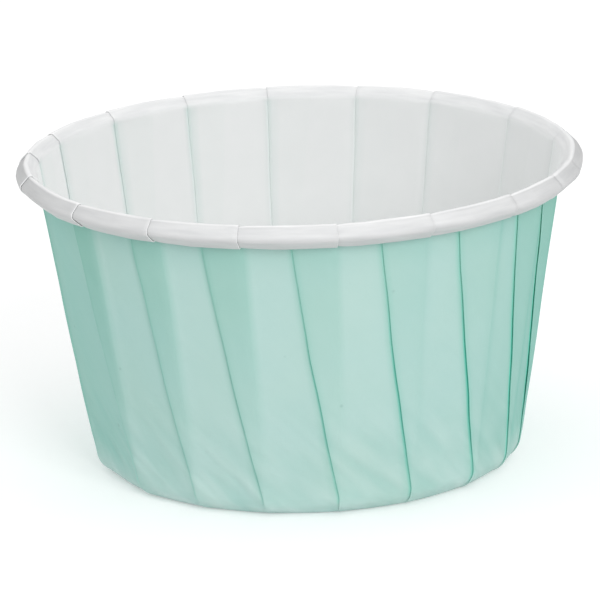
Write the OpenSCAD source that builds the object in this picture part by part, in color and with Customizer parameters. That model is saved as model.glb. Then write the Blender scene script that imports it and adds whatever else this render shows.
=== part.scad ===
// Pleated baking cup, pressed from one round sheet of coated paper.
// The sheet's spare length round the wall is taken up by knife pleats, each three
// layers thick, and its edge is rolled outwards over the top into a hollow rim, which the
// press leaves with a flat inner slope, a flat outer slope and a flat underside.
// Millimetres, +Z up, origin at the middle of the floor on the table.
// Angles round the cup start at the front, at -Y, and grow towards +X.

/* [Cup] */
// Diameter over the rolled rim
rim_d = 68; // [62:0.5:76]
// Height from the table to the top of the rim
cup_h = 37.6; // [30:0.1:46]
// Diameter at which the line of the wall meets the table
foot_d = 51.4; // [46:0.1:56]
// Radius of the corner between the floor and the wall
corner_r = 3; // [2:0.1:5]

/* [Paper] */
// Thickness of the paper
paper_t = 0.12; // [0.09:0.01:0.16]
// Air between two layers of a pleat
layer_gap = 0.03; // [0.02:0.005:0.05]

/* [Pleats] */
// Number of pleats
pleats = 18; // [12:1:24]
// Angle of the first inner fold at the rim, in degrees
fold_at = 6.9; // [0:0.1:20]
// How far that fold has turned by the time it reaches the foot, in degrees
fold_twist = 1.2; // [-5:0.1:5]

/* [Rim] */
// Radius of the bend in which the wall turns out into the rim
lip_r = 1; // [0.5:0.1:2]
// Radius of the three bends between the rim's flats
press_r = 0.2; // [0.15:0.05:0.4]
// Width of the inner slope, which rises from the lip to the ridge
lip_w = 1.05; // [0.8:0.05:1.4]
// Angle of that slope from upright, in degrees
lip_lean = 49; // [42:1:56]
// Width of the outer slope, which falls from the ridge
face_w = 1.08; // [0.9:0.02:1.4]
// Gap between the rolled edge and the wall
roll_gap = 0.3; // [0.2:0.05:0.6]

/* [Hidden] */
mint = [0.66, 0.84, 0.79];
// Steps along the sheet, from the floor's edge to the rolled edge
corner_steps = 4;
wall_steps = 4;
lip_steps = 2;
press_steps = 2;
// Angles from upright of the outer slope, the underside and the tucked edge
face_lean = 137;
under_lean = 229;
edge_lean = 322;

// From one layer of a pleat to the next, and the outside of its folds
layer = paper_t + layer_gap;
fold_r = paper_t + layer_gap/2;
// A pleat is never narrower than this, so that its middle layer has a length
least_lap = 3*fold_r;

// Along a path that leans this far from upright, and out of the sheet's green face there
function along(lean) = [sin(lean), cos(lean)];
function out_at(lean) = [cos(lean), -sin(lean)];

// The middles of the rim's bends, whose outside is three layers of paper further out
press_out_r = press_r + 2*layer + paper_t;
ridge_c = [rim_d/2 - press_out_r - face_w*sin(face_lean), cup_h - press_out_r];
brow_c = ridge_c + face_w*along(face_lean);
lip_c = ridge_c - lip_w*along(lip_lean) + (lip_r - press_r)*out_at(lip_lean);

// The end of a wall that leans this much
function wall_top(lean) = lip_c - lip_r*out_at(lean);
function lean_to(top) = atan2(top[0] - foot_d/2, top[1]);
// The lean of the wall moves its own top a little, so it is found in a few passes
function settle(lean, passes) = passes == 0 ? lean : settle(lean_to(wall_top(lean)), passes - 1);
wall_lean = settle(lean_to(ridge_c), 6);
wall_end = wall_top(wall_lean);

// The underside ends where the outside of its last bend comes within roll_gap of the wall
brow_off = (brow_c - wall_end)*out_at(wall_lean);
under_w = (brow_off - press_out_r - roll_gap)/sin(under_lean - 180 - wall_lean);
tuck_c = brow_c + under_w*along(under_lean);

// The corner between the floor and the wall
corner_c = [foot_d/2 - corner_r*(1 - sin(wall_lean))/cos(wall_lean), corner_r];
wall_start = corner_c + corner_r*out_at(wall_lean);

// Length of the sheet, from the middle of the floor, where the wall and each bend starts
function arc_len(r, angle) = r*angle*PI/180;
run_corner = corner_c[0] + arc_len(corner_r, 90 - wall_lean);
run_wall = run_corner + norm(wall_end - wall_start);
run_ridge = run_wall + arc_len(lip_r, lip_lean - wall_lean) + lip_w;
run_brow = run_ridge + arc_len(press_r, face_lean - lip_lean) + face_w;
run_tuck = run_brow + arc_len(press_r, under_lean - face_lean) + under_w;

function mix(a, b, f) = a + (b - a)*f;

// Stations along the path of the green face: [place, way out, run, state of the pleat].
// The state is 0 where the sheet is flat, 1 where it steps and 2 where it is folded.
corner_path = [for (k = [0:corner_steps])
    let (f = k/corner_steps, lean = mix(90, wall_lean, f))
    [corner_c + corner_r*out_at(lean), out_at(lean), corner_c[0] + arc_len(corner_r, 90 - lean), 2*f]];
wall_path = [for (k = [1:wall_steps])
    let (f = k/wall_steps)
    [mix(wall_start, wall_end, f), out_at(wall_lean), mix(run_corner, run_wall, f), 2]];
function bend_path(c, r, from, to, run, first, steps) = [for (k = [first:steps])
    let (lean = mix(from, to, k/steps))
    [c - r*out_at(lean), out_at(lean), run + arc_len(r, lean - from), 2]];
lip_path = bend_path(lip_c, lip_r, wall_lean, lip_lean, run_wall, 1, lip_steps);
ridge_path = bend_path(ridge_c, press_r, lip_lean, face_lean, run_ridge, 0, press_steps);
brow_path = bend_path(brow_c, press_r, face_lean, under_lean, run_brow, 0, press_steps);
tuck_path = bend_path(tuck_c, press_r, under_lean, edge_lean, run_tuck, 0, press_steps);
path = concat(corner_path, wall_path, lip_path, ridge_path, brow_path, tuck_path);

// What a flat round sheet has to spare at this radius, shared among the pleats
function lap(run, r) = max(least_lap, PI*(run - r)/pleats);

// One pleat as [across, out] points from its inner fold. The paper runs in from the
// left as the innermost layer, turns back at the inner fold as the middle layer, and
// turns forward at the outer fold as the outer layer, which slopes back in to the next.
function folded_out(w, pitch) = [
    [-w, -2*layer],
    [-fold_r, -2*layer],
    [-fold_r, -layer - paper_t],
    [fold_r - w, -layer - paper_t],
    [-w, -(layer + paper_t)/2],
    [fold_r - w, 0],
    [0, 0],
    [(pitch - w)/2, -layer]];
function folded_in(w, pitch) = [
    [-w, -2*layer - paper_t],
    [-fold_r, -2*layer - paper_t],
    [0, -(3*layer + paper_t)/2],
    [-fold_r, -layer],
    [fold_r - w, -layer],
    [fold_r - w, -paper_t],
    [0, -paper_t],
    [(pitch - w)/2, -layer - paper_t]];
// Lower down the pleat is only a step, whose face is side from the fold line
function stepped(side, depth, pitch) = concat(
    [[-2*fold_r, -2*layer - depth]],
    [for (k = [4:-1:0]) [side, -k*layer/2 - depth]],
    [[fold_r, -depth], [pitch/2, -layer - depth]]);
// At the floor its points lie side by side in the flat sheet
function flat(depth, pitch) = concat(
    [for (k = [-3:3]) [2*k*fold_r, -depth]],
    [[pitch/2, -depth]]);

function pleat_out(state, w, pitch) = state < 1
    ? mix(flat(0, pitch), stepped(-paper_t/2, 0, pitch), state)
    : mix(stepped(-paper_t/2, 0, pitch), folded_out(w, pitch), state - 1);
function pleat_in(state, w, pitch) = state < 1
    ? mix(flat(paper_t, pitch), stepped(paper_t/2, paper_t, pitch), state)
    : mix(stepped(paper_t/2, paper_t, pitch), folded_in(w, pitch), state - 1);

// The angle of the first inner fold at a height
function fold_angle(z) = fold_at + fold_twist*(1 - z/cup_h);

// One face of the paper at a station, all the way round the cup
function ring(station, green) =
    let (r = station[0][0], z = station[0][1], out = station[1])
    let (pitch = 2*PI*r/pleats, w = lap(station[2], r))
    let (pleat = green ? pleat_out(station[3], w, pitch) : pleat_in(station[3], w, pitch))
    [for (n = [0:pleats - 1], p = pleat)
        let (turn = fold_angle(z) + 360*n/pleats + p[0]*180/(PI*r), rp = r + p[1]*out[0])
        [rp*sin(turn), -rp*cos(turn), z + p[1]*out[1]]];

// The faces as triangles. Both diagonals of a square patch are used, so that the
// folded-back layer is split along the same line in space as its neighbours.
pleat_pts = len(flat(0, 1));
ring_pts = pleats*pleat_pts;
last = len(path) - 1;
green_mid = 2*len(path)*ring_pts;
white_mid = green_mid + 1;
function green_at(i, j) = i*ring_pts + j%ring_pts;
function white_at(i, j) = (len(path) + i)*ring_pts + j%ring_pts;
function patch(a, b, c, d, back) = back ? [[a, b, d], [b, c, d]] : [[a, b, c], [a, c, d]];
green_faces = [for (i = [0:last - 1], j = [0:ring_pts - 1])
    let (back = j%pleat_pts == 2)
    each patch(green_at(i, j), green_at(i + 1, j), green_at(i + 1, j + 1), green_at(i, j + 1), back)];
white_faces = [for (i = [0:last - 1], j = [0:ring_pts - 1])
    let (back = j%pleat_pts == 2 || j%pleat_pts == 3)
    each patch(white_at(i, j + 1), white_at(i + 1, j + 1), white_at(i + 1, j), white_at(i, j), !back)];
floor_faces = [for (j = [0:ring_pts - 1]) each [
    [green_at(0, j), green_at(0, j + 1), green_mid],
    [white_at(0, j + 1), white_at(0, j), white_mid]]];
edge_faces = [for (j = [0:ring_pts - 1]) each [
    [green_at(last, j + 1), green_at(last, j), white_at(last, j + 1)],
    [green_at(last, j), white_at(last, j), white_at(last, j + 1)]]];

// The paper cup, one closed sheet from the middle of the floor to the rolled edge
module liner() {
    color(mint)
    polyhedron(
        points = concat(
            [for (station = path) each ring(station, true)],
            [for (station = path) each ring(station, false)],
            [[0, 0, 0], [0, 0, paper_t]]),
        faces = concat(green_faces, white_faces, floor_faces, edge_faces),
        convexity = 10);
}

liner();
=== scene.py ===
"""Looks of a pleated paper baking cup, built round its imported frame. Metres, +Z up."""

import math

import bpy
from mathutils import Matrix, Vector


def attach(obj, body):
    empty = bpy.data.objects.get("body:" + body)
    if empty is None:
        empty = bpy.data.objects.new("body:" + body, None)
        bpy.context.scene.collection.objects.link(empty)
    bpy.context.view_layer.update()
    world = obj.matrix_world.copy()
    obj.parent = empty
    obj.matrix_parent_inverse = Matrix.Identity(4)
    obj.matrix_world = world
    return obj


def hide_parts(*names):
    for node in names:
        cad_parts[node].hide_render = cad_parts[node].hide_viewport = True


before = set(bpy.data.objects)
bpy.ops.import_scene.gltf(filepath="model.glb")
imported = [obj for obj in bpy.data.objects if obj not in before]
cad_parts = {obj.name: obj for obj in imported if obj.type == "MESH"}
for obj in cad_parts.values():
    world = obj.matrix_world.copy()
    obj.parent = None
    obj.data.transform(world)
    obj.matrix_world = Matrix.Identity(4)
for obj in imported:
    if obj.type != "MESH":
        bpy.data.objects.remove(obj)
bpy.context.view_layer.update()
MM = 0.001

# The cup's sizes in millimetres, as the frame has them. Angles are in degrees.
CUP = {
    "Pleats": 18,
    "Height": 37.6,
    "Foot radius": 25.7,
    "Paper": 0.045,         # its thickness
    "Layer": 0.085,         # from one layer of a pleat to the next
    "Fold at": 6.9,         # the front pleat's inner fold, at the top
    "Fold twist": 1.2,      # how much further round the folds are at the foot
    # The path, in the order of PATH. A bend below 0 turns the sheet up, above 0 out and down.
    "Corner bend": -3.0,
    "Wall lean": 9.02,
    "Wall length": 33.92,
    "Lip bend": 1.0,
    "Lip lean": 49.0,
    "Lip width": 1.01,
    "Ridge bend": 0.285,
    "Face lean": 137.0,
    "Face width": 1.07,
    "Brow bend": 0.485,
    "Under lean": 229.0,
    "Under width": 1.18,
    "Tuck bend": 0.485,
    "Edge lean": 322.0,
    "Edge width": 0.1,
    # How the pressed paper differs from the rule. Wander and dents are whole ranges.
    "Wander": 0.32,         # of a fold line, sideways
    "Bow": 0.30,            # of an outer fold, halfway up
    "Crease": 0.30,         # how far a pleat stands out along its inner fold
    "Lift": 0.08,           # of an outer fold off the panel below
    "Flatness": 0.75,       # of the panels between folds, 1 is flat
    "Rim flatness": 0.35,
    "Dents": 0.32,          # in the wall
    "Foot dents": 0.38,
    "Rim dents": 0.22,
    "Floor rise": 0.25,     # in the middle of the floor
    "Seed": 7.0,
}
# The sheet's path out of the floor: the size that sets each bend or straight run, its
# rows in the mesh and, for a bend, the size that says how it leans from upright at its end
PATH = (
    ("Corner bend", 14, "Wall lean"),
    ("Wall length", 30, None),
    ("Lip bend", 5, "Lip lean"),
    ("Lip width", 3, None),
    ("Ridge bend", 7, "Face lean"),
    ("Face width", 4, None),
    ("Brow bend", 5, "Under lean"),
    ("Under width", 3, None),
    ("Tuck bend", 5, "Edge lean"),
    ("Edge width", 1, None),
)
FLOOR_ROWS = 8
FLOOR_CROWDING = 0.7        # below 1, the floor's rows lie closer together near its edge
# Columns in one pleat: inner layer, inner fold, middle layer, outer fold, outer layer, panel
PLEAT_COLUMNS = (4, 3, 2, 4, 6, 9)
COLUMN_CROWDING = 0.8       # of the columns towards the folds, 0 is even
# Each pleat from the front towards +X: degrees off its even place, its share of the width
# that the rule gives it, and how much its three layers and its folds show
PLEATS = (
    (0.0, 1.0, 0.6), (-0.2, 1.05, 0.45), (0.8, 1.3, 0.3), (-2.3, 1.1, 0.5), (-9.5, 1.2, 0.5),
    (-5.0, 0.9, 0.1), (-2.0, 1.1, 0.1), (1.6, 0.95, 0.25), (-0.3, 1.05, 0.35), (-0.2, 1.0, 0.55),
    (-1.2, 0.9, 0.8), (-1.1, 1.1, 1.0), (0.1, 1.0, 0.6), (-4.0, 0.95, 0.8), (-4.6, 1.05, 0.9),
    (1.2, 0.83, 1.0), (1.3, 0.86, 1.0), (0.3, 1.0, 0.95),
)
START_LAYERS = 2.5          # the width by the rule that a pleat starts with, in layers
LEAST_LAYERS = 2.0          # the least width that it has, in layers
FLOOR_LAYERS = 4.0          # the most that half its folds take up on the floor, in layers
FLOOR_SPREAD = 0.03         # and as a share of the radius
POLE_RADIUS = 0.5           # within this, columns keep their angles
POLE_GUARD = 0.1            # keeps a division by the radius safe at the middle
SHALLOW_CREASE = 0.35       # what the shallowest pleat has of its crease
EVEN_FALL = 0.45            # the share of a crease's fall that goes evenly over the panel
LIFT_PATCHES = 1.6          # how much the lift of an outer fold comes and goes
MERGE_WITHIN = 0.0003       # millimetres, for the grid's sides and the middle of the floor
SHARP_BEND = 60             # degrees, for the edges of the paper
# How far from a fold a bend or a shade reaches, in millimetres
REACH = {
    "crease": 1.1,
    "lift": 1.5,
    "layers": 0.9,
    "seam": 0.3,
    "panel before seam": 1.1,
    "layer after seam": 0.9,
    "layer before inner fold": 0.8,
    "panel after inner fold": 0.55,
    "nook": 0.15,
}
INNER_FOLD_RAMP = 0.65      # millimetres, of the shade before an inner fold
# The pace of each noise: from pleat to pleat or round the cup, and by the millimetre up it
PACE = {
    "inner fold": (5.3, 0.09),
    "outer fold": (3.1, 0.11),
    "lift": (4.7, 0.13),
    "wall": (2.2, 0.07),
    "foot": (7.0, 0.20),
    "rim": (12.0, 1.3),     # by the radian round its section
}
FOOT_SLANT = 0.22           # how the dents at the foot slant, by the millimetre
OUTER_FOLD_START = 40.0     # where the outer folds' noise starts, away from the inner folds'
LIFT_SEED = 9.0             # more than the cup's own seed
# Stretches that something comes in over, each a start and a length
STRETCH = {
    # In shares of the corner's bend
    "step": (0.05, 0.45),
    "fold over": (0.45, 0.55),
    "foot dents": (0.3, 0.7),
    # In shares of the wall
    "free of the foot": (0.0, 0.25),
    "held by the rim": (0.8, 0.2),
    "belly": (0.0, 0.35),
    # In shares of the ridge's bend
    "slope": (0.4, 0.35),
    # In millimetres up
    "top of foot dents": (4.0, 9.0),
    "top of crinkles": (3.0, 13.0),
    # Where the painted shade on three layers grows up the cup
    "layers": (2, 26),
    # Where the painted shade seen aslant starts up from the foot
    "aslant": (1, 4),
    # Painted shadow under the rim
    "rim shadow": (30, 5),
    # Painted light from the floor at the foot
    "foot": (0, 6),
    # Where the painted light on the seams high up comes in
    "high seams": (18, 12),
    # Painted shade below the lip
    "shade below lip": (23, 12),
    # In the facing of a Layer Weight node, from 0 face on to 1 edge on
    # Where the painted light in a seam seen aslant comes in
    "sideways": (0.4, 0.3),
    # In the noise of the streaks, from 0 to 1
    "streaks": (0.3, 0.4),
}
# How strong some masks are, from 0 to 1
FOOT_SEAM = 0.6             # a seam where it starts at the foot
AFTER_SEAM = 0.5            # the shade on the layer after a seam
SHALLOW_FOLD = 0.15         # the shade along an inner fold of the shallowest pleat
BROW_ON_FACE = 0.25         # the brow's shade at the end of the outer slope
# The map for baking
MAP_STRIPS = 2              # to each face of the paper
MAP_FLOOR = 0.2             # the floor's share of a strip
MAP_RUN = 45.0              # millimetres of path that would fill the rest
MAP_MARGIN = 0.01           # at the foot and the head of a strip
WHITE_MAP_UP = 0.5          # how far up the white face's half is

# What the paper group is given, and its noises by the millimetre
PAPER_INPUTS = ("Grain", "Crinkle", "Speck size")
PAPER_SCALE = {"grain": 3.2, "crinkle": 0.34, "mottle": 0.42, "cloud": 0.11, "specks": 0.16}
CRINKLE_SLANT = 0.033       # radians by the millimetre of height
CRINKLE_STRETCH = 0.4       # below 1, the crinkles are longer up the wall
HIGH_CRINKLE = 0.12         # what is left of them above the foot
# The crinkles' painted light and shade in the colour
CRINKLE_SHADING = 1.9          # how much they change the colour
STREAK_ROUND = 6.0          # the pace of the streaks round the rim
STREAK_ACROSS = 1.6         # and across it, by the millimetre
SPECK_EDGE = 0.05           # how soft a speck's edge is

# The finish of each face. Heights are in millimetres.
MINT_FINISH = {
    "Grain": 0.006, "Crinkle": 0.5, "Speck size": 0.003,
    "Specular": 0.05, "Roughness": 0.48, "Roughness range": 0.08,
}
WHITE_FINISH = {
    "Grain": 0.004, "Crinkle": 0.12, "Speck size": 0.002,
    "Specular": 0.22, "Roughness": 0.48, "Roughness range": 0.10,
}
STREAK_HEIGHT = 0.09        # of the pressed rim's streaks
SPECK_STRENGTH = 0.6        # of the mint's specks, 1 is their full colour
# Colours in linear light. A pair is what a mask mixes between, from 0 to 1. Every pair is a
# tint that the colour is multiplied by, apart from the layers' and the slope's.
PLAIN = (1.0, 1.0, 1.0)
MINT = {
    # The paper's green, and the same with painted shade where three layers lie
    "layers": ((0.408, 0.559, 0.530), (0.312, 0.501, 0.453)),
    "cloud": ((0.95, 0.985, 1.0), (1.0, 1.0, 0.975)),
    "mottle": ((0.965, 0.985, 0.98), PLAIN),
    # Painted shade and painted light along the crinkles
    "crinkle": ((0.88, 0.945, 0.935), (1.12, 1.06, 1.07)),
    # Painted shade where the paper is seen from the side
    "aslant": (PLAIN, (0.42, 0.815, 0.725)),
    # Painted shadow under the rim
    "rim shadow": (PLAIN, (0.91, 0.965, 0.95)),
    # Painted light from the floor at the foot
    "foot": ((1.12, 1.075, 1.08), PLAIN),
    # Painted shade beside a seam, and painted shade with green bounce light in it, from a shallow pleat
    # to a deep one
    "beside seam": ((0.60, 0.92, 0.84), (0.70, 0.87, 0.82)),
    "seam": ((0.15, 1.02, 0.83), (0.62, 0.93, 0.86)),
    # Painted light in a seam seen aslant, from low on the cup to high
    "seam aslant": ((0.55, 1.6, 1.4), (1.5, 1.7, 1.6)),
}
# Painted light on the seams high up
MINT_HIGH_SEAM = (1.0, 1.2, 1.15)      # a tint as well
MINT_SPECK = (0.2, 0.33, 0.30)
WHITE = {
    "layers": ((0.789, 0.799, 0.796), (0.775, 0.793, 0.786)),
    # Painted light where the inside is seen from the side
    "aslant": (PLAIN, (1.26, 1.26, 1.26)),
    # Painted shade below the lip
    "shade below lip": (PLAIN, (0.943, 0.943, 0.945)),
    # The outer slope's grey face on, and with painted shade edge on
    "slope": ((0.735, 0.738, 0.740), (0.470, 0.473, 0.475)),
    "streaks": ((1.02, 1.02, 1.02), (0.90, 0.905, 0.91)),
    "mottle": ((0.97, 0.975, 0.975), PLAIN),
    # Painted shade along an inner fold
    "inside fold": (PLAIN, (0.79, 0.89, 0.865)),
}
# Painted light in the nook of an inner fold
WHITE_NOOK = (0.93, 0.94, 0.94)
WHITE_LIP = (0.792, 0.795, 0.797)
# Painted shade on the brow and underside
WHITE_BROW = (0.514, 0.515, 0.517)
# A painted highlight on the turned edges and the ridge
WHITE_EDGE_HIGHLIGHT = (0.90, 0.90, 0.90)


class Wire:
    """A value in a node tree. Arithmetic on wires adds Math nodes, so a formula reads as one."""

    def __init__(self, socket):
        self.socket = socket

    def __add__(self, other):
        return math_node("ADD", self, other)

    def __sub__(self, other):
        return math_node("SUBTRACT", self, other)

    def __mul__(self, other):
        return math_node("MULTIPLY", self, other)

    def __truediv__(self, other):
        return math_node("DIVIDE", self, other)

    def __rsub__(self, other):
        return math_node("SUBTRACT", other, self)

    def __neg__(self):
        return self * -1.0

    __radd__ = __add__
    __rmul__ = __mul__


class Sheet:
    """The tree that nodes are being added to."""

    tree = None


def node(kind, *values, out=0, **settings):
    """Adds a node, feeds its inputs in order or by name, and returns one of its outputs."""
    made = Sheet.tree.nodes.new(kind)
    named = settings.pop("named", {})
    for key, value in settings.items():
        setattr(made, key, value)
    for key, value in [*enumerate(values), *named.items()]:
        if isinstance(value, Wire):
            Sheet.tree.links.new(value.socket, made.inputs[key])
        elif value is not None:
            made.inputs[key].default_value = value
    return Wire(made.outputs[out])


def math_node(operation, *values, clamp=False):
    return node("ShaderNodeMath", *values, operation=operation, use_clamp=clamp)


def sin(angle):
    return math_node("SINE", angle)


def cos(angle):
    return math_node("COSINE", angle)


def mix(a, b, share):
    return a + (b - a) * share


def span(value, start, length):
    """How much of a stretch is behind the value, from 0 to 1."""
    return math_node("DIVIDE", value - start, length, clamp=True)


def near(distance, reach):
    """From 1 at a line down to 0 at the end of its reach."""
    return 1.0 - span(distance, 0.0, reach)


def smooth(share):
    return share * share * (3.0 - 2.0 * share)


def ease(value, name):
    """How much of a named stretch is behind the value, with soft ends."""
    return smooth(span(value, *STRETCH[name]))


def arch(share):
    """0 at both ends and 1 halfway."""
    return share * (1.0 - share) * 4.0


def half_turn(share):
    """From 0 to 1 as a fold goes round."""
    return (1.0 - cos(share * math.pi)) * 0.5


def vector(x, y, z):
    return node("ShaderNodeCombineXYZ", x, y, z)


def axes(place):
    """The three numbers of a vector."""
    apart = Sheet.tree.nodes.new("ShaderNodeSeparateXYZ")
    Sheet.tree.links.new(place.socket, apart.inputs[0])
    return [Wire(out) for out in apart.outputs]


def noise(place, scale=1.0, detail=2.0):
    """Noise about 0, mostly within a half either way."""
    value = node("ShaderNodeTexNoise", named={"Vector": place, "Scale": scale, "Detail": detail})
    return value - 0.5


def follow_path(row, size):
    """The path of the green face from the floor's edge, at this row of the grid.

    Returns its reach outwards, height, length and lean from upright, and how much of each
    stretch of the path is behind."""
    done, at, lean = {}, float(FLOOR_ROWS), math.pi / 2
    reach = height = run = 0.0
    leaning = math.pi / 2
    for name, count, end in PATH:
        share = done[name] = span(row, at, float(count))
        at += count
        if end:
            bend, end_lean = size[name], size[end] * math.radians(1)
            turned = mix(lean, end_lean, share)
            reach = bend * (cos(lean) - cos(turned)) + reach
            height = bend * (sin(turned) - sin(lean)) + height
            run = bend * (turned - lean) + run
            leaning = turned - lean + leaning
            lean = end_lean
        else:
            length = size[name] * share
            reach = length * sin(lean) + reach
            height = length * cos(lean) + height
            run = length + run
    return reach, height, run, leaning, done


def pleat_stretches(column_in_pleat):
    """How far along each of a pleat's six stretches this column is, closer near the folds."""
    part, at = [], 0.0
    for count in PLEAT_COLUMNS:
        part.append(span(column_in_pleat, at, float(count)))
        at += count
    inner, fold_in, middle, fold_out, outer, panel = part
    inner = mix(inner, inner * (2.0 - inner), COLUMN_CROWDING)
    outer = mix(outer, outer * outer, COLUMN_CROWDING)
    panel = mix(panel, smooth(panel), COLUMN_CROWDING)
    return inner, fold_in, middle, fold_out, outer, panel


def baking_map(column, columns, floor, run):
    """A place on the map for baking, where the sheet lies in strips, one over the other."""
    strip_columns = float(columns // MAP_STRIPS)
    strip = node("GeometryNodeFieldOnDomain", math_node("FLOOR", column / strip_columns), domain="FACE")
    along = column / strip_columns - strip
    up_strip = floor * MAP_FLOOR + run / MAP_RUN * (1.0 - MAP_FLOOR)
    up_strip = up_strip * (1.0 - 2.0 * MAP_MARGIN) + MAP_MARGIN
    return vector(along, (strip + up_strip) / (2.0 * MAP_STRIPS), 0.0)


def finished_sheet(grid, on_map, masks, moved, face):
    """The grid with its map and masks stored, moved into the cup's shape and given its paper."""
    sheet = node("GeometryNodeStoreNamedAttribute", grid, data_type="FLOAT2", domain="CORNER",
                 named={"Name": "OFBake", "Value": on_map})
    for name, value in masks.items():
        sheet = node("GeometryNodeStoreNamedAttribute", sheet,
                     named={"Name": name, "Value": value}, data_type="FLOAT", domain="POINT")
    sheet = node("GeometryNodeSetPosition", sheet, named={"Position": moved})
    sheet = node("GeometryNodeMergeByDistance", sheet, named={"Distance": MERGE_WITHIN * MM})
    sheet = node("GeometryNodeSetShadeSmooth", sheet)
    sheet = node("GeometryNodeRealizeInstances", sheet)
    return node("GeometryNodeSetMaterial", sheet, named={"Material": face})


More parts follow.
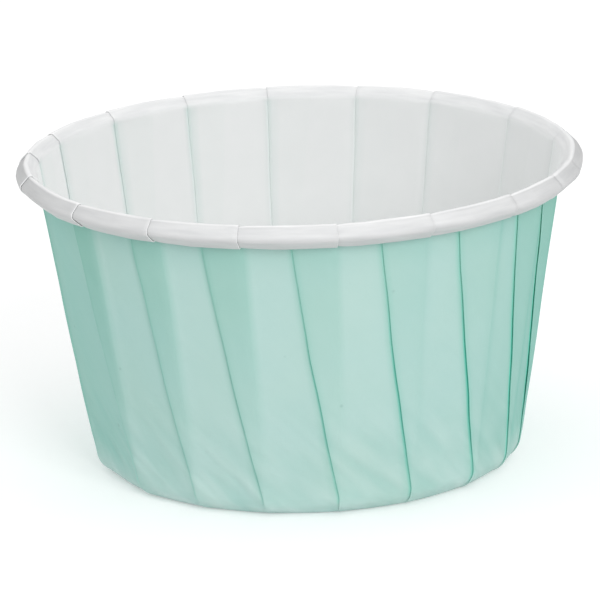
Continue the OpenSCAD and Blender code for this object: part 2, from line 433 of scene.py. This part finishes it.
def cup_tree():
    """Geometry Nodes: one flat grid pleated, pressed and rolled into the cup's sheet.

    It is given points that hold each pleat's place, width and depth."""
    tree = bpy.data.node_groups.new("pleated_cup", "GeometryNodeTree")
    Sheet.tree = tree
    tree.interface.new_socket("Geometry", in_out="OUTPUT", socket_type="NodeSocketGeometry")
    tree.interface.new_socket("Pleat points", in_out="INPUT", socket_type="NodeSocketGeometry")
    for name in CUP:
        tree.interface.new_socket(name, in_out="INPUT", socket_type="NodeSocketFloat")
    tree.interface.new_socket("Paper face", in_out="INPUT", socket_type="NodeSocketMaterial")
    group_in = tree.nodes.new("NodeGroupInput")
    group_out = tree.nodes.new("NodeGroupOutput")
    size = {name: Wire(group_in.outputs[name]) for name in CUP}

    # The flat grid, one unit to a face
    in_pleat = sum(PLEAT_COLUMNS)
    columns = in_pleat * CUP["Pleats"]
    rows = FLOOR_ROWS + sum(count for _, count, _ in PATH)
    grid = node("GeometryNodeMeshGrid", float(columns), float(rows), columns + 1, rows + 1)
    x, y, _ = axes(node("GeometryNodeInputPosition"))
    column = x + columns / 2
    row = y + rows / 2

    reach, height, run, leaning, done = follow_path(row, size)
    wall_lean = size["Wall lean"] * math.radians(1)
    corner_mid = size["Foot radius"] + size["Corner bend"] * (1.0 - sin(wall_lean)) / cos(wall_lean)
    floor = span(row, 0.0, float(FLOOR_ROWS))
    radius = corner_mid * math_node("POWER", floor, FLOOR_CROWDING) + reach

    # A pleat starts as a step in the first half of the corner and folds over in the second
    stepped = ease(done["Corner bend"], "step")
    folded = ease(done["Corner bend"], "fold over")
    wall, lip = done["Wall length"], done["Lip bend"]
    grown = wall * (1.0 - lip)
    free = ease(wall, "free of the foot") * (1.0 - ease(wall, "held by the rim"))

    def pleat_place(name, number, seed, start=0.0):
        """A place for noise that changes from pleat to pleat and up the cup."""
        pace, climb = PACE[name]
        return vector(number * pace + start, height * climb, seed)

    def of_pleat(name, wrapped):
        value = node("GeometryNodeInputNamedAttribute", name, data_type="FLOAT")
        return node("GeometryNodeSampleIndex", Wire(group_in.outputs["Pleat points"]), value, wrapped,
                    data_type="FLOAT", domain="POINT")

    def fold(number):
        """Angle and width of the pleat with this number, here on the path."""
        wrapped = math_node("FLOORED_MODULO", number, size["Pleats"])
        spare = (run - reach) * math.pi / size["Pleats"]
        spare = math_node("MAXIMUM", spare, size["Layer"] * START_LAYERS)
        wander = noise(pleat_place("inner fold", wrapped, size["Seed"]), 1.0, 1.0)
        out_place = pleat_place("outer fold", wrapped, size["Seed"], OUTER_FOLD_START)
        wander_out = noise(out_place, 1.0, 1.0)
        width = (spare * of_pleat("share", wrapped) + size["Bow"] * arch(wall)
                 + size["Wander"] * wander_out * free)
        width = math_node("MAXIMUM", width, size["Layer"] * LEAST_LAYERS)
        degrees = (size["Fold at"] + size["Fold twist"] * (1.0 - height / size["Height"])
                   + of_pleat("shift", wrapped) + number * 360.0 / size["Pleats"])
        # Where the pleat opens out flat, its step stays under the outer fold
        slip = (size["Wander"] * wander * free / radius
                - width * (1.0 - folded) / size["Foot radius"])
        return degrees * math.radians(1) + slip, width

    # Which pleat this column is in, and how far round the cup its three layers and panel reach
    number = math_node("FLOOR", math_node("ROUND", column) / in_pleat)
    inner, fold_in, middle, fold_out, outer, panel = pleat_stretches(column - number * in_pleat)
    layer = size["Layer"]
    angle, width = fold(number)
    angle_next, width_next = fold(number + 1.0)
    lap = width * folded
    gap = (angle_next - angle) * radius - width_next * folded
    on_panel = panel * gap
    bend = layer * 0.5 * folded
    turn_in, turn_out = sin(fold_in * math.pi), sin(fold_out * math.pi)
    across = (-lap + inner * (lap - bend) + bend * turn_in - middle * (lap - 2.0 * bend)
              - bend * turn_out + outer * (lap - bend))
    # On the floor the fold's columns lie side by side, from -1 to 1 over their five stretches
    spread = math_node("MINIMUM", layer * FLOOR_LAYERS, radius * FLOOR_SPREAD) * (1.0 - stepped)
    in_fold = (inner + fold_in + middle + fold_out + outer) * 0.4 - 1.0
    across = across + spread * in_fold * (1.0 - panel) + panel * (gap - spread)
    turned = angle + across / math_node("MAXIMUM", radius, POLE_RADIUS)

    def cup_place(name, along, slant=0.0):
        """A place for noise that goes round the cup without a seam, and along its path."""
        pace, climb = PACE[name]
        return vector(sin(turned) * pace + slant, cos(turned) * pace, along * climb)

    # Depth under the green envelope: layers, the soft crease, a lifted fold and dents
    depth = of_pleat("depth", math_node("FLOORED_MODULO", number, size["Pleats"]))
    crease = size["Crease"] * mix(SHALLOW_CREASE, 1.0, depth) * grown * folded
    levels = 2.0 - half_turn(fold_in) - half_turn(fold_out)
    fall = panel * EVEN_FALL + smooth(span(on_panel, 0.0, REACH["crease"])) * (1.0 - EVEN_FALL)
    over = inner - middle + outer
    rise = 1.0 - (1.0 - over) * (1.0 - over)
    out = (crease * rise - levels * layer * stepped
           - (2.0 * layer * stepped + crease) * fall)
    near_fold = near((1.0 - middle + outer) * lap, REACH["lift"])
    patchy = 1.0 + LIFT_PATCHES * noise(pleat_place("lift", number, size["Seed"] + LIFT_SEED))
    lift = size["Lift"] * near_fold * near_fold * (1.0 - panel) * free * patchy
    dent = size["Dents"] * noise(cup_place("wall", height)) * free
    near_foot = ease(done["Corner bend"], "foot dents") * (1.0 - ease(height, "top of foot dents"))
    foot_noise = noise(cup_place("foot", height, height * FOOT_SLANT), 1.0, 1.0)
    dent = dent + size["Foot dents"] * foot_noise * near_foot
    rim_dent = size["Rim dents"] * noise(cup_place("rim", leaning)) * lip
    out = out + lift + dent + rim_dent - size["Paper"] * 0.5

    # Between folds the sheet runs straighter than a circle
    bulge = (lap * lap * over * (1.0 - over) + gap * gap * panel * (1.0 - panel)) / 2.0
    flat = mix(size["Flatness"], size["Rim flatness"], lip) * stepped * bulge / (radius + POLE_GUARD)
    rho = radius + out * cos(leaning) - flat
    up = height - out * sin(leaning) + size["Floor rise"] * (1.0 - floor * floor)
    moved = vector(rho * sin(turned) * MM, -(rho * cos(turned)) * MM, up * MM)

    # Masks for the materials: how deep the pleat is, its three layers (painted shade on the green
    # face), the seam at an outer fold (painted shade and green bounce light) and the painted shade
    # beside it, the painted shade inside along an inner fold and painted light in its nook, the lip
    # with the fold's edge on it and the rim's ridge (painted highlights), its outer slope (painted
    # shade seen edge on) and the brow and underside below (painted shade)
    to_seam = (1.0 - panel) * gap
    before_seam = near(to_seam, REACH["panel before seam"])
    after_seam = near(outer * lap, REACH["layer after seam"]) * (1.0 - panel)
    before = span(inner * lap, lap - REACH["layer before inner fold"], INNER_FOLD_RAMP)
    before = smooth(before) * (1.0 - fold_in)
    after = fold_in * near(on_panel, REACH["panel after inner fold"])
    on_seam = 1.0 - fold_out + panel * near(to_seam, REACH["seam"])
    masks = {
        "depth": depth,
        "triple": near(on_panel, REACH["layers"]) * folded * depth,
        "seam": on_seam * folded * mix(FOOT_SEAM, 1.0, ease(wall, "belly")),
        "beside": (before_seam * before_seam * panel + AFTER_SEAM * after_seam * after_seam) * folded,
        "inside": (before + after) * folded * grown * mix(SHALLOW_FOLD, 1.0, depth),
        "nook": fold_in * near(on_panel, REACH["nook"]) * folded,
        "lip": smooth(lip),
        "edge": arch(fold_in) * lip,
        "ridge": arch(done["Ridge bend"]),
        "slope": ease(done["Ridge bend"], "slope"),
        "brow": smooth(mix(done["Face width"], done["Brow bend"], 1.0 - BROW_ON_FACE)),
    }
    face = Wire(group_in.outputs["Paper face"])
    sheet = finished_sheet(grid, baking_map(column, columns, floor, run), masks, moved, face)
    tree.links.new(sheet.socket, group_out.inputs[0])
    return tree


def plain_mesh(maker, name):
    """The mesh that an object's modifiers make, with nothing live left on it."""
    made = maker.evaluated_get(bpy.context.evaluated_depsgraph_get())
    mesh = bpy.data.meshes.new_from_object(made)
    mesh.name = name
    bpy.data.objects.remove(maker)
    return mesh


def linked(name, data):
    made = bpy.data.objects.new(name, data)
    bpy.context.collection.objects.link(made)
    return made


def make_liner(green, white):
    """The cup's sheet from its node tree, then given the paper's thickness."""
    points = bpy.data.meshes.new("pleat_points")
    points.from_pydata([(0, 0, 0)] * len(PLEATS), [], [])
    for name, values in zip(("shift", "share", "depth"), zip(*PLEATS)):
        points.attributes.new(name, "FLOAT", "POINT").data.foreach_set("value", values)
    maker = linked("sheet_maker", points)
    tree = cup_tree()
    modifier = maker.modifiers.new("pleats", "NODES")
    modifier.node_group = tree
    for item in tree.interface.items_tree:
        if item.in_out == "INPUT" and item.name in CUP:
            modifier[item.identifier] = float(CUP[item.name])
        elif item.name == "Paper face":
            modifier[item.identifier] = green
    sheet = plain_mesh(maker, "sheet")
    # The grid's own empty slot goes, so that the green face has slot 0 and the white one slot 1
    sheet.materials.clear()
    sheet.materials.append(green)
    sheet.materials.append(white)
    thickened = linked("thickened", sheet)
    shell = thickened.modifiers.new("thickness", "SOLIDIFY")
    shell.thickness = CUP["Paper"] * MM
    shell.offset = 0.0
    shell.material_offset = 1
    shell.material_offset_rim = 1
    mesh = plain_mesh(thickened, "pressed_liner")
    mesh.set_sharp_from_angle(angle=math.radians(SHARP_BEND))
    # The white face takes the other half of the map
    for face in mesh.polygons:
        if face.material_index:
            for corner in face.loop_indices:
                mesh.uv_layers["OFBake"].uv[corner].vector.y += WHITE_MAP_UP
    return linked("pressed_liner", mesh)


def paper_group():
    """Shader group: what pressed, coated paper does to its surface, on Object coordinates."""
    tree = bpy.data.node_groups.new("pressed_paper", "ShaderNodeTree")
    Sheet.tree = tree
    for name in PAPER_INPUTS:
        tree.interface.new_socket(name, in_out="INPUT", socket_type="NodeSocketFloat")
    for name in ("Height", "Mottle", "Cloud", "Crinkle shading", "Streaks", "Specks"):
        tree.interface.new_socket(name, in_out="OUTPUT", socket_type="NodeSocketFloat")
    group_in = tree.nodes.new("NodeGroupInput")
    group_out = tree.nodes.new("NodeGroupOutput")
    given = {name: Wire(group_in.outputs[name]) for name in PAPER_INPUTS}
    place = node("ShaderNodeTexCoord", out="Object")
    in_mm = node("ShaderNodeVectorMath", place, (1 / MM,) * 3, operation="MULTIPLY")
    x, y, up = axes(in_mm)

    grain = noise(in_mm, PAPER_SCALE["grain"], 3.0)
    # Soft folds that slant down to the foot, where the flat sheet was forced into its corner
    slanted = node("ShaderNodeVectorRotate", in_mm, rotation_type="Z_AXIS",
                   named={"Angle": up * CRINKLE_SLANT})
    slanted = node("ShaderNodeMapping", slanted, named={"Scale": (1.0, 1.0, CRINKLE_STRETCH)})
    near_foot = 1.0 - ease(up, "top of crinkles")
    crinkle = noise(slanted, PAPER_SCALE["crinkle"], 1.0) * (HIGH_CRINKLE + near_foot)
    # Streaks round the rim, long where they run along it and narrow across
    reach = math_node("SQRT", x * x + y * y)
    round_rim = vector(x / reach * STREAK_ROUND, y / reach * STREAK_ROUND, up * STREAK_ACROSS)
    streaks = node("ShaderNodeTexNoise", noise_dimensions="4D", named={
        "Vector": round_rim, "W": reach * STREAK_ACROSS, "Scale": 1.0, "Detail": 2.0})
    specks = node("ShaderNodeTexVoronoi", out="Distance",
                  named={"Vector": in_mm, "Scale": PAPER_SCALE["specks"]})
    results = {
        "Height": given["Grain"] * grain + given["Crinkle"] * crinkle,
        "Mottle": noise(in_mm, PAPER_SCALE["mottle"], 3.0) + 0.5,
        "Cloud": noise(in_mm, PAPER_SCALE["cloud"], 1.0) + 0.5,
        # The crinkles' painted light and shade, about 0.5
        "Crinkle shading": crinkle * CRINKLE_SHADING + 0.5,
        "Streaks": streaks,
        "Specks": 1.0 - span(specks, given["Speck size"], SPECK_EDGE),
    }
    for name, value in results.items():
        tree.links.new(value.socket, group_out.inputs[name])
    return tree


def attribute(name):
    return node("ShaderNodeAttribute", attribute_name=name, out="Fac")


def turned_away():
    """From 0 where the paper is seen face on to 1 where it is seen edge on."""
    return node("ShaderNodeLayerWeight", 0.5, out="Facing")


def climbed(name):
    """How much of a named stretch of height is below this place."""
    height = axes(node("ShaderNodeTexCoord", out="Object"))[2]
    start, length = STRETCH[name]
    return span(height, start * MM, length * MM)


def colour_mix(share, low, high, blend="MIX"):
    """Mixes two colours, each a wire or a plain colour."""
    low, high = (value if isinstance(value, Wire) else (*value, 1.0) for value in (low, high))
    factor, colour_a, colour_b, result = 0, 6, 7, 2
    return node("ShaderNodeMix", data_type="RGBA", blend_type=blend, out=result,
                named={factor: share, colour_a: low, colour_b: high})


def tinted(colour, share, low, high):
    """A colour times a tint, which a mask mixes from two."""
    return colour_mix(1.0, colour, colour_mix(share, low, high), "MULTIPLY")


def feed(shader, name, wire):
    Sheet.tree.links.new(wire.socket, shader.inputs[name])


def paper_material(name, group, finish):
    """A Principled material with a face's finish, on what the paper group gives.

    Returns the material, its shader and the group's outputs."""
    made = bpy.data.materials.new(name)
    made.use_nodes = True
    Sheet.tree = made.node_tree
    shader = made.node_tree.nodes["Principled BSDF"]
    pressed = made.node_tree.nodes.new("ShaderNodeGroup")
    pressed.node_tree = group
    for key in PAPER_INPUTS:
        pressed.inputs[key].default_value = finish[key]
    given = {out.name: Wire(out) for out in pressed.outputs}
    shader.inputs["Specular IOR Level"].default_value = finish["Specular"]
    feed(shader, "Roughness", finish["Roughness"] + finish["Roughness range"] * (given["Mottle"] - 0.5))
    return made, shader, given


def bumped(height):
    """A normal from a height in millimetres."""
    return node("ShaderNodeBump", named={"Distance": MM, "Height": height}, out="Normal")


def mint_paper(group):
    """The printed outside, with painted shade where three layers lie and painted shade deepest in the
    fold beside them.
    """
    made, shader, given = paper_material("mint_coated_paper", group, MINT_FINISH)
    facing = turned_away()
    # Painted shade where three layers lie, strongest high up
    colour = colour_mix(attribute("triple") * climbed("layers"), *MINT["layers"])
    tints = {
        "cloud": given["Cloud"],
        "mottle": given["Mottle"],
        # Painted light and shade along the crinkles
        "crinkle": given["Crinkle shading"],
        # Painted shade where the paper is seen from the side
        "aslant": facing * facing * climbed("aslant"),
        # Painted shadow under the rim
        "rim shadow": smooth(climbed("rim shadow")),
        # Painted light from the floor at the foot
        "foot": climbed("foot"),
    }
    for name, share in tints.items():
        colour = tinted(colour, share, *MINT[name])
    # Painted shade beside a fold, and painted shade with green bounce light in its seam, lighter high
    # up and seen aslant; the deeper pleats have the softer, greyer seams
    depth = attribute("depth")
    high_up = climbed("high seams")
    sideways = ease(facing, "sideways")
    beside = colour_mix(sideways, colour_mix(depth, *MINT["beside seam"]), PLAIN)
    seam = colour_mix(high_up, colour_mix(depth, *MINT["seam"]), MINT_HIGH_SEAM)
    seam = colour_mix(sideways, seam, colour_mix(high_up, *MINT["seam aslant"]))
    colour = tinted(colour, attribute("beside"), PLAIN, beside)
    colour = tinted(colour, attribute("seam"), PLAIN, seam)
    colour = colour_mix(given["Specks"] * SPECK_STRENGTH, colour, MINT_SPECK)
    feed(shader, "Base Color", colour)
    feed(shader, "Normal", bumped(given["Height"]))
    return made


def white_paper(group):
    """The coated inside, and the rim, which is streaked where it has been pressed, with a greyer outer
    slope, painted shade on it where it is seen edge on, and painted shade on the brow and underside.
    """
    made, shader, given = paper_material("white_coated_paper", group, WHITE_FINISH)
    lip = attribute("lip")
    facing = turned_away()
    colour = colour_mix(attribute("triple") * (1.0 - lip), *WHITE["layers"])
    # Painted light where the inside is seen from the side
    colour = tinted(colour, facing * facing, *WHITE["aslant"])
    # Painted shade below the lip
    colour = tinted(colour, climbed("shade below lip"), *WHITE["shade below lip"])
    # Painted light in the nook of an inner fold
    colour = colour_mix(attribute("nook"), colour, WHITE_NOOK)
    colour = colour_mix(lip, colour, WHITE_LIP)
    # The outer slope greyer, with painted shade where it is seen edge on
    colour = colour_mix(attribute("slope"), colour, colour_mix(facing, *WHITE["slope"]))
    # Painted shade on the brow and underside
    colour = colour_mix(attribute("brow"), colour, WHITE_BROW)
    # A painted highlight on the turned edges and the ridge
    bright = math_node("MAXIMUM", attribute("edge"), attribute("ridge"))
    colour = colour_mix(bright, colour, WHITE_EDGE_HIGHLIGHT)
    streaked = lip * (1.0 - span(given["Streaks"], *STRETCH["streaks"]))
    colour = tinted(colour, streaked, *WHITE["streaks"])
    colour = tinted(colour, given["Mottle"], *WHITE["mottle"])
    # Painted shade along an inner fold
    colour = tinted(colour, attribute("inside"), *WHITE["inside fold"])
    feed(shader, "Base Color", colour)
    feed(shader, "Normal", bumped(given["Height"] + lip * STREAK_HEIGHT * (given["Streaks"] - 0.5)))
    return made


def add_camera():
    """The camera that was fitted to the photograph's cup."""
    elevation, roll, distance = math.radians(16.22), math.radians(-1.76), 700 * MM
    target = Vector((-0.467, 0, 19.2)) * MM
    data = bpy.data.cameras.new("camera")
    data.sensor_width = 36.0
    data.lens = 348.8
    data.clip_start, data.clip_end = 0.05, 20
    camera = linked("camera", data)
    turn = Matrix.Rotation(math.pi / 2 - elevation, 4, "X") @ Matrix.Rotation(roll, 4, "Z")
    back = Vector((0, -math.cos(elevation), math.sin(elevation)))
    camera.matrix_world = Matrix.Translation(target + back * distance) @ turn
    bpy.context.scene.camera = camera


def add_lamp(name, place, size, power):
    """A round soft lamp that looks at the middle of the cup. Metres and watts."""
    middle = Vector((0, 0, 0.02))
    data = bpy.data.lights.new(name, "AREA")
    data.shape = "DISK"
    data.size = size
    data.energy = power
    lamp = linked(name, data)
    lamp.location = place
    lamp.rotation_euler = (middle - Vector(place)).to_track_quat("-Z", "Y").to_euler()


def add_sky():
    """A plain bright sky: white to the camera, and a little less as a light."""
    world = bpy.data.worlds.new("studio")
    bpy.context.scene.world = world
    world.use_nodes = True
    Sheet.tree = world.node_tree
    sky_light, seen_sky = 0.88, 1.0
    background = world.node_tree.nodes["Background"]
    background.inputs["Color"].default_value = (1, 1, 1, 1)
    seen = node("ShaderNodeLightPath", out="Is Camera Ray")
    world.node_tree.links.new(mix(sky_light, seen_sky, seen).socket, background.inputs["Strength"])


def add_floor():
    """A pale matt floor that glows a little, so that it is near white and keeps the shadow."""
    bpy.ops.mesh.primitive_plane_add(size=6)
    floor = bpy.context.object
    floor.name = "floor"
    made = bpy.data.materials.new("pale_floor")
    made.use_nodes = True
    shader = made.node_tree.nodes["Principled BSDF"]
    shader.inputs["Base Color"].default_value = (0.88, 0.88, 0.88, 1)
    shader.inputs["Roughness"].default_value = 1.0
    shader.inputs["Specular IOR Level"].default_value = 0.0
    shader.inputs["Emission Color"].default_value = (1, 1, 1, 1)
    shader.inputs["Emission Strength"].default_value = 0.21
    floor.data.materials.append(made)


add_camera()
paper = paper_group()
liner = make_liner(mint_paper(paper), white_paper(paper))
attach(liner, "root")
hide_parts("liner")
bpy.context.scene.view_settings.view_transform = "Standard"
add_sky()
add_lamp("key", place=(0.331, -0.819, 0.469), size=0.5, power=3.2)
add_lamp("fill", place=(-0.483, -0.129, 0.866), size=0.5, power=0.4)
add_floor()
